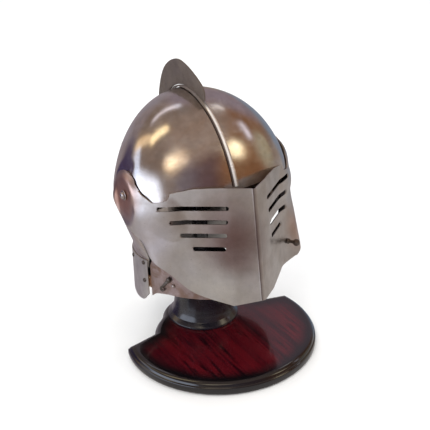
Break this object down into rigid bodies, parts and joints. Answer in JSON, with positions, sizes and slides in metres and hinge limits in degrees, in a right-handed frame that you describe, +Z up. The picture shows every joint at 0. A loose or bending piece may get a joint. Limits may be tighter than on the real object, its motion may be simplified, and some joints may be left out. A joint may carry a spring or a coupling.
{
  "type": "knight helmet",
  "caption": "Visored knight helmet with keeled slotted visor, hinged bevor, crest fin and neck guard, resting on a turned post with a lacquered plaque base.",
  "frame": {"origin": "on the floor, at the centre of the plaque's front arc, in the helmet's middle plane", "axes": "+Z up, the face looks along -Y, +X towards the wearer's left"},
  "size_m": [0.244, 0.2815, 0.354],
  "materials": {
    "polished_steel": "mirror polished, warm",
    "crest_steel": "matte",
    "satin_steel": "satin",
    "dark_steel": "blackened",
    "lacquered_wood": "high gloss lacquer",
    "black_lacquer": "gloss black lacquer",
    "leather": "waxed",
    "felt": "brushed felt"
  },
  "bodies": {
    "stand": {"stand_plaque": "lacquered_wood", "stand_felt": "felt", "stand_neck": "black_lacquer", "neck_screw_1": "dark_steel", "neck_screw_2": "dark_steel", "neck_screw_3": "dark_steel", "support_post": "black_lacquer", "crown_pad": "felt"},
    "helmet": {"skull_right": "polished_steel", "skull_left": "polished_steel", "crest_strip": "polished_steel", "crest_fin": "crest_steel", "neck_guard": "satin_steel", "neck_guard_rivet_1": "satin_steel", "neck_guard_rivet_2": "satin_steel", "neck_guard_rivet_3": "satin_steel", "neck_guard_rivet_4": "satin_steel", "neck_guard_rivet_5": "satin_steel", "neck_guard_rivet_6": "satin_steel", "neck_guard_rivet_7": "satin_steel", "pivot_rivet_right": "satin_steel", "pivot_rivet_left": "satin_steel", "pivot_washer_right": "satin_steel", "pivot_washer_left": "satin_steel", "pivot_burr_right": "dark_steel", "pivot_burr_left": "dark_steel", "liner_band": "leather", "liner_strap_long": "leather", "liner_strap_cross": "leather", "liner_rivet_1": "satin_steel", "liner_rivet_2": "satin_steel", "liner_rivet_3": "satin_steel", "liner_rivet_4": "satin_steel", "chin_strap_right": "leather", "chin_strap_left": "leather", "chin_buckle": "satin_steel", "strap_rivet_1": "satin_steel", "strap_rivet_2": "satin_steel"},
    "bevor": {"bevor": "satin_steel", "latch_rivet": "dark_steel", "latch_stud": "satin_steel"},
    "latch": {"latch_hook": "dark_steel"},
    "visor": {"visor": "satin_steel", "lifting_peg": "dark_steel", "peg_nut": "dark_steel"}
  },
  "joints": [
    {"name": "helmet_lift", "type": "slide", "parent": "stand", "child": "helmet", "axis": [0, 0, 1], "range_m": [0, 0.25]},
    {"name": "bevor_swing", "type": "hinge", "parent": "helmet", "child": "bevor", "pos_m": [0, 0.028, 0.2235], "axis": [-1, 0, 0], "range_deg": [0, 10]},
    {"name": "visor_lift", "type": "hinge", "parent": "bevor", "child": "visor", "pos_m": [0, 0.028, 0.2235], "axis": [-1, 0, 0], "range_deg": [0, 29]},
    {"name": "latch_swing", "type": "hinge", "parent": "bevor", "child": "latch", "pos_m": [-0.07756, -0.016, 0.1215], "axis": [-0.8785, -0.4778, 0], "range_deg": [0, 50]}
  ]
}
